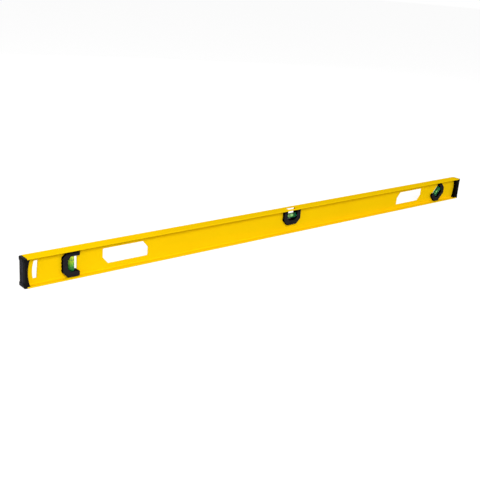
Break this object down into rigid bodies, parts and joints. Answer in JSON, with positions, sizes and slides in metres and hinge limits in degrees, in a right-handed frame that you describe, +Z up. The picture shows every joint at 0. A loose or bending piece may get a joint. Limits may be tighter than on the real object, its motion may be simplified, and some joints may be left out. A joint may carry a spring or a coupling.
{
  "type": "spirit level",
  "caption": "Long painted aluminium I-beam spirit level with level, plumb and 45 degree vials, slanted hand holds, a hang slot, a top sight slot and plastic end caps.",
  "frame": {"origin": "under the middle of the level, on its bottom measuring face and in the middle of its width", "axes": "+X along the level towards its 45 degree vial, the pictured front face towards -Y, +Z up"},
  "size_m": [1.219, 0.022, 0.053],
  "materials": {
    "yellow_paint": "yellow powder coat on extruded aluminium",
    "cap_plastic": "finely grained black moulding",
    "frame_plastic": "satin black moulding",
    "clear_acrylic": "polished clear acrylic",
    "plug_plastic": "pressed plastic plug",
    "ring_ink": "dark filled groove",
    "green_spirit": "green tinted spirit",
    "air": "air bubble"
  },
  "bodies": {
    "level": {"beam": "yellow_paint", "left_end_cap": "cap_plastic", "right_end_cap": "cap_plastic", "level_frame_front": "frame_plastic", "level_frame_rear": "frame_plastic", "level_vial_body": "clear_acrylic", "level_vial_plug": "plug_plastic", "level_vial_rings": "ring_ink", "level_vial_liquid": "green_spirit", "plumb_frame_front": "frame_plastic", "plumb_frame_rear": "frame_plastic", "plumb_vial_body": "clear_acrylic", "plumb_vial_plug": "plug_plastic", "plumb_vial_rings": "ring_ink", "plumb_vial_liquid": "green_spirit", "angle_frame_front": "frame_plastic", "angle_frame_rear": "frame_plastic", "angle_vial_body": "clear_acrylic", "angle_vial_plug": "plug_plastic", "angle_vial_rings": "ring_ink", "angle_vial_liquid": "green_spirit"},
    "level_bubble": {"level_vial_bubble": "air"},
    "plumb_bubble": {"plumb_vial_bubble": "air"},
    "angle_bubble": {"angle_vial_bubble": "air"}
  },
  "joints": [
    {"name": "level_bubble_travel", "type": "slide", "parent": "level", "child": "level_bubble", "axis": [1, 0, 0], "range_m": [-0.0097, 0.0097], "stiffness_N_per_m": 2},
    {"name": "plumb_bubble_travel", "type": "slide", "parent": "level", "child": "plumb_bubble", "axis": [0, 0, 1], "range_m": [-0.022, 0], "stiffness_N_per_m": 2, "springref_m": 0.006},
    {"name": "angle_bubble_travel", "type": "slide", "parent": "level", "child": "angle_bubble", "axis": [0.7071, 0, 0.7071], "range_m": [-0.022, 0], "stiffness_N_per_m": 2, "springref_m": 0.006}
  ]
}
